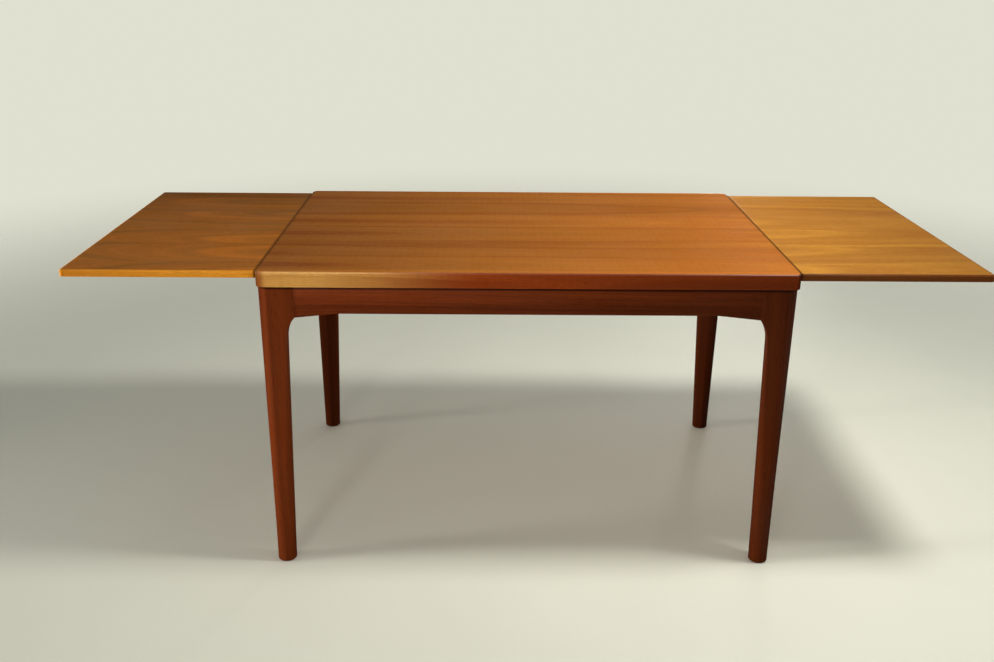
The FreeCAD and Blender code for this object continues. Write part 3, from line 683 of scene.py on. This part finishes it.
class TABLE_OT_leaves(bpy.types.Operator):
    """Model the edge lips of both leaves, and veneer their panels"""

    bl_idname = "table.leaves"
    bl_label = "Leaves"

    def execute(self, context):
        sizes, colours = context.scene.table.sizes, context.scene.table.colours
        for side, x_sign in SIDES.items():
            body = f"leaf_{side}"
            # Each leaf's edges take their side's tones: painted light on the left leaf, painted shade on
            # the right.
            tones, edge = tones_of(colours, f"{side}_leaf"), tones_of(colours, f"{side}_edge")
            joint = min(abs(corner.x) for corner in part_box(f"{body}_panel")) - self.lip_width(body)
            # Painted shade along the joint with the top.
            leaf_joint_shade = [("X", joint + 5 * MM, joint + 1 * MM, 0.6)]
            veneer = teak(f"teak_{body}", tones, veneer=0.155, seed=20.0 + x_sign, contrast=0.58,
                          broad=24.0, darkening=leaf_joint_shade, **LEAF_VENEERS[side])
            dress_node(f"{body}_panel", veneer)
            finishes = {
                "long": teak(f"teak_{body}_long_lips", edge, seed=30.0 + x_sign, pith=(0.2, 0.71)),
                "outer": teak(f"teak_{body}_outer_lip", edge, "Y", seed=40.0 + x_sign, pith=(0.2, 0.71)),
                "inner": teak(f"teak_{body}_inner_lip", edge, "Y", seed=45.0 + x_sign, pith=(0.2, 0.71),
                              darkening=leaf_joint_shade),
            }
            for depth, y_sign in DEPTHS.items():
                lip = self.lip(body, depth, 1, y_sign, sizes)
                dress(lip, body, "teak_lip", finishes["long"], f"{body}_lip_{depth}", veneer=veneer)
            for end, sign in (("outer", x_sign), ("inner", -x_sign)):
                lip = self.lip(body, end, 0, sign, sizes)
                dress(lip, body, "teak_lip", finishes[end], f"{body}_lip_{end}", veneer=veneer)
        return {"FINISHED"}

    def lip_width(self, body):
        low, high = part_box(f"{body}_lip_outer")
        return high.x - low.x

    def lip(self, body, edge, axis, sign, sizes):
        """One lip, whose outer face looks along an axis of the table in the way of the sign."""
        low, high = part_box(f"{body}_lip_{edge}")
        tip = high.x if sign > 0 else low.x
        if edge == "inner":
            reach = high.x - low.x - self.lip_width(body)
            high.x -= reach if sign > 0 else 0
            low.x += reach if sign < 0 else 0
        lip = add_block(f"{body}_{edge}_edge", low, high)
        outer, glued = (high[axis], low[axis]) if sign > 0 else (low[axis], high[axis])
        if edge == "outer":
            round_edges(lip, lambda e: runs_along(e, 2) and lies_at(e, axis, outer), sizes.leaf_corner, 6)

        def is_rim(e):
            level = lies_at(e, 2, low.z) or lies_at(e, 2, high.z)
            open_end = axis == 0 or lies_at(e, axis, outer)
            at_joint = edge == "inner" and lies_at(e, axis, outer)
            return level and open_end and not at_joint and not lies_at(e, axis, glued)

        round_edges(lip, is_rim, sizes.leaf_edge, 4)
        if edge == "inner":
            round_edges(lip, lambda e: lies_at(e, 0, outer), sizes.joint_edge, 3)
            self.draw_tongue(lip, outer, tip, high.z - sizes.tongue_drop, sizes.tongue_thickness)
        shade(lip)
        return lip

    def draw_tongue(self, lip, face, tip, top, thickness):
        """Draws the tongue out of an inner lip's face, to run under the end of the top."""
        edit(lip)
        for z in (top, top - thickness):
            bpy.ops.mesh.select_all(action="SELECT")
            bpy.ops.mesh.bisect(plane_co=(0, 0, z), plane_no=(0, 0, 1))
        middle, half = top - thickness / 2, thickness / 2 + SAME_PLACE

        def is_root(f):
            return all(near(v.co.x, face) and abs(v.co.z - middle) < half for v in f.verts)

        select(lip, "FACE", is_root)
        bpy.ops.mesh.extrude_region_move(TRANSFORM_OT_translate={"value": (tip - face, 0, 0)})
        bpy.ops.object.mode_set(mode="OBJECT")
        round_edges(lip, lambda e: lies_at(e, 0, tip), thickness / 6, 2)


class TABLE_OT_legs(bpy.types.Operator):
    """Model one leg with its ears and round foot, and copy it to the four corners"""

    bl_idname = "table.legs"
    bl_label = "Legs"

    def execute(self, context):
        sizes, colours = context.scene.table.sizes, context.scene.table.colours
        leg = self.model(sizes)
        face = max(abs(corner.y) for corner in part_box("leg_front_left"))
        # Painted shade on the faces that look in under the table.
        inner_face_shade = ("Y", face - 18 * MM, face - 45 * MM, 0.45)
        for side, x_sign in SIDES.items():
            for depth, y_sign in DEPTHS.items():
                copy = mirrored_copy(leg, f"{depth}_{side}_leg", x_sign, y_sign)
                shade(copy, 30)
                # The legs are also painted darker to the right and under the lips of the top, as painted
                # shade.
                finish = teak(f"teak_{depth}_{side}_leg", tones_of(colours, "frame"), grain="Z",
                              seed=50.0 + 2 * x_sign + y_sign, pith=(0.64 * x_sign, 0.30 * y_sign),
                              ring=0.005, contrast=0.5, painted_light_slope=(-0.25, 0.0), lightness=LEG_TONE_AND_SHADE[side],
                              darkening=[*shade_under_lips(), inner_face_shade])
                dress(copy, "frame", "teak_frame", finish, f"leg_{depth}_{side}")
        bpy.data.objects.remove(leg)
        return {"FINISHED"}

    def section(self, leg, width, z, outer_cut, inner_cut, crown, radius, arris):
        """Adds a square face for the leg's outline at a height, with its corners cut or rounded."""
        bpy.ops.mesh.primitive_plane_add(size=width, location=(self.x - width / 2, self.y - width / 2, z))
        corner = Vector((self.x, self.y, z))

        def cut(test, size, steps, bow):
            select(leg, "VERT", test)
            profile = (0.5 + 0.5 * bow) ** 2
            bpy.ops.mesh.bevel(offset=size, segments=steps, profile=profile, affect="VERTICES",
                               clamp_overlap=False)

        def at(vert, u, v):
            return (vert.co - corner + Vector((u, v, 0))).length < SAME_PLACE

        others = [(width, 0), (0, width)]
        ends = [(outer_cut, 0), (0, outer_cut), (width, width - inner_cut), (width - inner_cut, width)]
        cut(lambda v: at(v, 0, 0), outer_cut, 6, crown)
        cut(lambda v: at(v, width, width), inner_cut, 6, crown)
        cut(lambda v: any(at(v, *place) for place in others), radius, 4, ROUND)
        cut(lambda v: any(at(v, *place) for place in ends), arris, 2, ROUND)

    def ear(self, sizes, across, top, foot):
        """The part of a leg that reaches out to an apron, running along X or, across, along Y."""
        reach, drop = sizes.ear_reach, sizes.ear_drop
        radius = (reach ** 2 + drop ** 2) / (2 * reach)
        tip, corner = sizes.leg_width + reach, foot + drop

        def place(u, v, z):
            return Vector((self.x - v, self.y - u, z)) if across else Vector((self.x - u, self.y - v, z))

        leave_nothing_selected()
        middle = place(tip, sizes.ear_depth / 2, (corner + top) / 2)
        turn = (math.pi / 2, 0, 0) if across else (0, math.pi / 2, 0)
        bpy.ops.mesh.primitive_plane_add(size=1, location=middle, rotation=turn)
        width, height = sizes.ear_depth, top - corner
        bpy.context.object.scale = (width, height, 1) if across else (height, width, 1)
        ear = settle("ear")
        edit(ear)
        select(ear, "EDGE", lambda e: lies_at(e, 2, corner))
        centre = place(sizes.leg_width + radius, 0, foot)
        sweep = math.atan2(drop, radius - reach)
        bpy.ops.mesh.spin(steps=8, angle=sweep if across else -sweep, center=centre,
                          axis=(1, 0, 0) if across else (0, 1, 0))
        bpy.ops.mesh.select_all(action="SELECT")
        depth = reach + sizes.leg_round
        push = place(0, 0, 0) - place(depth, 0, 0)
        bpy.ops.mesh.extrude_region_move(TRANSFORM_OT_translate={"value": push})
        bpy.ops.object.mode_set(mode="OBJECT")
        face_outwards(ear)
        return ear

    def model(self, sizes):
        """The back right leg."""
        self.x, self.y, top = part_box("leg_back_right")[1]
        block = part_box("apron_back")[0].z - sizes.ear_drop
        leave_nothing_selected()
        bpy.ops.mesh.primitive_plane_add(size=sizes.foot, location=(0, 0, -1))
        leg = settle("leg")
        edit(leg)
        bpy.ops.mesh.delete(type="VERT")
        flat = sizes.leg_width - sizes.ear_depth
        self.section(leg, sizes.leg_width, block, sizes.leg_facet, flat, sizes.leg_crown, sizes.leg_round,
                     sizes.facet_arris)
        select(leg, "FACE", lambda f: True)
        bpy.ops.mesh.extrude_region_move(TRANSFORM_OT_translate={"value": (0, 0, top - block)})
        half = (sizes.foot - FOOT_FLAT) / 2
        self.section(leg, sizes.foot, sizes.foot_chamfer, half, half, ROUND, half, FOOT_ARRIS)
        select(leg, "FACE", lambda f: f.calc_center_median().z < sizes.foot_chamfer + SAME_PLACE)
        bpy.ops.mesh.extrude_region_move(TRANSFORM_OT_translate={"value": (0, 0, -sizes.foot_chamfer)})
        narrow = 1 - 2 * sizes.foot_chamfer / sizes.foot
        middle = (self.x - sizes.foot / 2, self.y - sizes.foot / 2, 0)
        bpy.ops.transform.resize(value=(narrow, narrow, 1), center_override=middle)
        levels = (block, sizes.foot_chamfer)
        select(leg, "FACE", lambda f: any(all(near(v.co.z, z) for v in f.verts) for z in levels))
        bpy.ops.mesh.bridge_edge_loops()
        bpy.ops.object.mode_set(mode="OBJECT")
        face_outwards(leg)
        for across in (False, True):
            combine(leg, self.ear(sizes, across, top, block), "UNION")
        combine(leg, self.corner_cutter(sizes), "DIFFERENCE")
        round_edges(leg, lambda e: self.is_ear_edge(e, sizes, block, top), sizes.ear_arris, 3)
        remove_slivers(leg)
        return leg

    def corner_cutter(self, sizes):
        """A block standing across the leg's inner corner, where the corner block bears."""
        block_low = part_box("corner_block_back_right")[0].z - MM
        side = 60 * MM
        reach = (sizes.leg_width + sizes.ear_depth) / math.sqrt(2) + side / 2
        spot = Vector((self.x, self.y, block_low + side)) - Vector((1, 1, 0)).normalized() * reach
        leave_nothing_selected()
        bpy.ops.mesh.primitive_cube_add(size=1, location=spot, rotation=(0, 0, math.pi / 4),
                                        scale=(side, side, 2 * side))
        return settle("corner_cutter")

    def is_ear_edge(self, edge, sizes, block, top):
        """An edge of an ear's hollow or end, or of a face that shows beside it."""
        if fold_angle(edge) < math.radians(40) or lies_at(edge, 2, top):
            return False
        middle = (edge.verts[0].co + edge.verts[1].co) / 2
        u, v = self.x - middle.x, self.y - middle.y
        return max(u, v) > sizes.leg_width + 0.1 * MM and middle.z > block


class TABLE_OT_aprons(bpy.types.Operator):
    """Model the four aprons, and notch the end ones for the runners"""

    bl_idname = "table.aprons"
    bl_label = "Aprons"

    def execute(self, context):
        sizes, colours = context.scene.table.sizes, context.scene.table.colours
        tones = tones_of(colours, "frame")
        for name, sign in {**DEPTHS, **SIDES}.items():
            axis = 0 if name in DEPTHS else 1
            node = f"apron_{name}"
            apron = self.model(node, f"{name}_apron", axis, sizes)
            if name in SIDES:
                self.notch(apron, node, f"runner_{name}_")
            round_edges(apron, lambda e: self.is_long(e, axis), sizes.apron_arris, 3)
            shade(apron)
            grain = "XY"[axis]
            # The aprons are painted darker to the right, painted shade for the front lamp at the left, with
            # painted shade under the lips of the top, and are darker towards the bottom.
            finish = teak(f"teak_{name}_apron", tones, grain=grain, seed=70.0 + 3 * axis + sign,
                          pith=(0.45 * sign, 0.58), ring=0.006, painted_light_slope=(-0.8, 0.0), lightness=1.25,
                          darkening=shade_under_lips() + self.darker_lower_half(node))
            dress(apron, "frame", "teak_frame", finish, node)
        return {"FINISHED"}

    def darker_lower_half(self, node):
        """Darker wood along the lower half of an apron."""
        low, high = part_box(node)
        middle = (low.z + high.z) / 2
        return [("Z", middle + 4 * MM, middle - 8 * MM, 0.28)]

    def is_long(self, edge, axis):
        way = edge.verts[1].co - edge.verts[0].co
        return fold_angle(edge) > SHARP_FOLD and abs(way[axis]) > 0.9 * way.length

    def model(self, node, name, axis, sizes):
        low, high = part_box(node)
        low.z += sizes.apron_dip
        apron = add_block(name, low, high)
        edit(apron)
        for end, sign in ((low[axis], 1), (high[axis], -1)):
            spot, way = Vector(), Vector()
            spot[axis], way[axis] = end + sign * sizes.apron_dip_length, 1.0
            bpy.ops.mesh.select_all(action="SELECT")
            bpy.ops.mesh.bisect(plane_co=spot, plane_no=way)
        ends = (low[axis], high[axis])
        select(apron, "VERT", lambda v: near(v.co.z, low.z) and any(near(v.co[axis], end) for end in ends))
        bpy.ops.transform.translate(value=(0, 0, -sizes.apron_dip))
        bpy.ops.object.mode_set(mode="OBJECT")
        return apron

    def notch(self, apron, node, runner):
        """Cuts the two notches, as wide and deep as the frame's own."""
        low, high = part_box(node)
        middle = (low.z + high.z) / 2
        corners = [vert.co for vert in frame["nodes"][node].data.vertices if vert.co.z > middle]
        for depth in DEPTHS:
            side, other_side = (corner.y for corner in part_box(runner + depth))
            inside = [c for c in corners if side - 2 * MM < c.y < other_side + 2 * MM]
            floor = min(c.z for c in inside)
            edges = [c.y for c in inside]
            cutter = add_block("notch_cutter", (low.x - MM, min(edges), floor),
                               (high.x + MM, max(edges), high.z + MM))
            combine(apron, cutter, "DIFFERENCE")


class TABLE_OT_runners(bpy.types.Operator):
    """Ease the runners of both leaves, and finish their pegs"""

    bl_idname = "table.runners"
    bl_label = "Runners"

    def execute(self, context):
        sizes, tones = context.scene.table.sizes, tones_of(context.scene.table.colours, "beech")
        for side in SIDES:
            body = f"leaf_{side}"
            finish = beech(f"beech_{side}_runners", tones, seed=2.0 if side == "left" else 5.0)
            for depth in DEPTHS:
                node = f"runner_{side}_{depth}"
                runner = eased_copy(node, f"{side}_{depth}_runner", sizes.hidden_arris)
                dress(runner, body, "beech", finish, node)
            dress_node(f"runner_{side}_stop_pegs", beech(f"beech_{side}_pegs", tones, grain="Y", seed=8.0))
        return {"FINISHED"}


class TABLE_OT_carcase(bpy.types.Operator):
    """Ease the bearer, its cleats, the guides and the corner blocks, and finish the pegs and dowels"""

    bl_idname = "table.carcase"
    bl_label = "Bearer, guides and blocks"

    def execute(self, context):
        sizes, tones = context.scene.table.sizes, tones_of(context.scene.table.colours, "beech")
        lengthwise = beech("beech_lengthwise", tones, seed=11.0)
        crosswise = beech("beech_crosswise", tones, grain="Y", seed=14.0)
        upright = beech("beech_pegs", tones, grain="Z", seed=17.0)
        strips = {"centre_bearer": crosswise}
        for depth in DEPTHS:
            strips[f"bearer_cleat_{depth}"] = lengthwise
            for row in ("inner", "middle", "outer"):
                strips[f"guide_{depth}_{row}"] = lengthwise
            for side in SIDES:
                strips[f"corner_block_{depth}_{side}"] = crosswise
            dress_node(f"top_peg_{depth}", upright)
        for node, finish in strips.items():
            dress(eased_copy(node, f"eased_{node}", sizes.hidden_arris), "frame", "beech", finish, node)
        dress_node("apron_dowels", lengthwise)
        return {"FINISHED"}


class TABLE_OT_fittings(bpy.types.Operator):
    """Finish the screws, bolts, washers and nuts"""

    bl_idname = "table.fittings"
    bl_label = "Fittings"

    def execute(self, context):
        steel = plated_steel("plated_steel", tuple(context.scene.table.colours.steel))
        for node in STEEL_NODES:
            dress_node(node, steel)
        return {"FINISHED"}


class TABLE_OT_stage(bpy.types.Operator):
    """Set up the floor, the even light, the lamps and the camera"""

    bl_idname = "table.stage"
    bl_label = "Stage"

    def execute(self, context):
        scene, studio, colours = context.scene, context.scene.table.studio, context.scene.table.colours
        leave_nothing_selected()
        bpy.ops.mesh.primitive_circle_add(vertices=96, radius=FLOOR_RADIUS, fill_type="NGON")
        floor = settle("floor")
        floor.data.materials.append(self.floor_finish(colours))
        self.light_all_round(scene, studio, colours)
        for name, lamp in LAMPS.items():
            self.lamp(f"{name}_lamp", watts=getattr(studio, name), **lamp)
        self.camera(scene, studio)
        scene.view_settings.view_transform = "Standard"
        return {"FINISHED"}

    def floor_finish(self, colours):
        """Pale painted floor, which gives way to the backdrop far out."""
        material = bpy.data.materials.new("pale_floor")
        nodes = Nodes(material)
        x, y, _ = nodes.place()
        clouds = nodes.noise(x * 1.7, y * 1.7, 0.0, detail=4.0)
        paint = nodes.tinted(tuple(colours.floor), 0.95 + clouds * 0.1)
        shader = nodes.add("ShaderNodeBsdfPrincipled", inputs={"Base Color": paint, "Roughness": 0.62})
        out = ((x * x + y * y) ** 0.5).rise(*FLOOR_FADE)
        clear = nodes.add("ShaderNodeBsdfTransparent")
        mixed = nodes.add("ShaderNodeMixShader", inputs=[out, shader, clear])
        nodes.add("ShaderNodeOutputMaterial", inputs=[mixed])
        return material

    def light_all_round(self, scene, studio, colours):
        """Even light on the table, and the backdrop's colour where the camera or a gloss looks past it."""
        scene.world = bpy.data.worlds.new("studio")
        nodes = Nodes(scene.world)
        ray = nodes.add("ShaderNodeLightPath", output="Is Camera Ray")
        seen = ray.math("MAXIMUM", ray, ray.other("Is Glossy Ray"))
        seen = seen.math("MAXIMUM", seen, ray.other("Is Transmission Ray"))
        even = nodes.add("ShaderNodeBackground", inputs=[EVEN_TINT, studio.ambient])
        backdrop = nodes.add("ShaderNodeBackground", inputs=[(*colours.backdrop, 1.0), 1.0])
        mixed = nodes.add("ShaderNodeMixShader", inputs=[seen, even, backdrop])
        nodes.add("ShaderNodeOutputWorld", inputs=[mixed])

    def lamp(self, name, place, target, size, spread, watts):
        """A round soft lamp, whose light spreads over an angle in degrees."""
        leave_nothing_selected()
        bpy.ops.object.light_add(type="AREA", location=place)
        lamp = bpy.context.object
        lamp.name = lamp.data.name = name
        lamp.rotation_euler = (Vector(target) - Vector(place)).to_track_quat("-Z", "Y").to_euler()
        lamp.data.shape, lamp.data.size, lamp.data.energy = "DISK", size, watts
        lamp.data.spread = math.radians(spread)
        lamp.data.color = LAMP_TINT
        lamp.visible_camera = False

    def camera(self, scene, studio):
        turn, tilt, roll = studio.turn, studio.tilt, studio.roll
        ahead = Vector((math.sin(turn) * math.cos(tilt), math.cos(turn) * math.cos(tilt), -math.sin(tilt)))
        right = Vector((math.cos(turn), -math.sin(turn), 0))
        down = ahead.cross(right)
        level = math.cos(roll) * right + math.sin(roll) * down
        below = math.cos(roll) * down - math.sin(roll) * right
        leave_nothing_selected()
        bpy.ops.object.camera_add(location=studio.camera)
        camera = bpy.context.object
        camera.name = camera.data.name = "camera"
        camera.rotation_euler = Matrix((level, -below, -ahead)).transposed().to_euler()
        camera.data.lens, camera.data.sensor_width = studio.lens, SENSOR_WIDTH
        scene.camera = camera


STEPS = (TABLE_OT_top, TABLE_OT_leaves, TABLE_OT_legs, TABLE_OT_aprons, TABLE_OT_runners, TABLE_OT_carcase,
         TABLE_OT_fittings, TABLE_OT_stage)


class TABLE_PT_steps(bpy.types.Panel):
    """The table's steps, in order"""

    bl_idname = "TABLE_PT_steps"
    bl_label = "Draw leaf table"
    bl_space_type = "VIEW_3D"
    bl_region_type = "UI"
    bl_category = "Table"

    def draw(self, context):
        for step in STEPS:
            self.layout.operator(step.bl_idname)
        settings = context.scene.table
        for group in (settings.sizes, settings.colours, settings.studio):
            box = self.layout.box()
            for name in group.bl_rna.properties.keys():
                if name not in ("rna_type", "name"):
                    box.prop(group, name)


CLASSES = (TableSizes, TableColours, StudioSettings, TableSettings, *STEPS, TABLE_PT_steps)


def register():
    for item in CLASSES:
        bpy.utils.register_class(item)
    bpy.types.Scene.table = bpy.props.PointerProperty(type=TableSettings)


def unregister():
    del bpy.types.Scene.table
    for item in reversed(CLASSES):
        bpy.utils.unregister_class(item)


def main():
    register()
    bpy.ops.table.top()
    bpy.ops.table.leaves()
    bpy.ops.table.legs()
    bpy.ops.table.aprons()
    bpy.ops.table.runners()
    bpy.ops.table.carcase()
    bpy.ops.table.fittings()
    bpy.ops.table.stage()


if __name__ == "__main__":
    main()
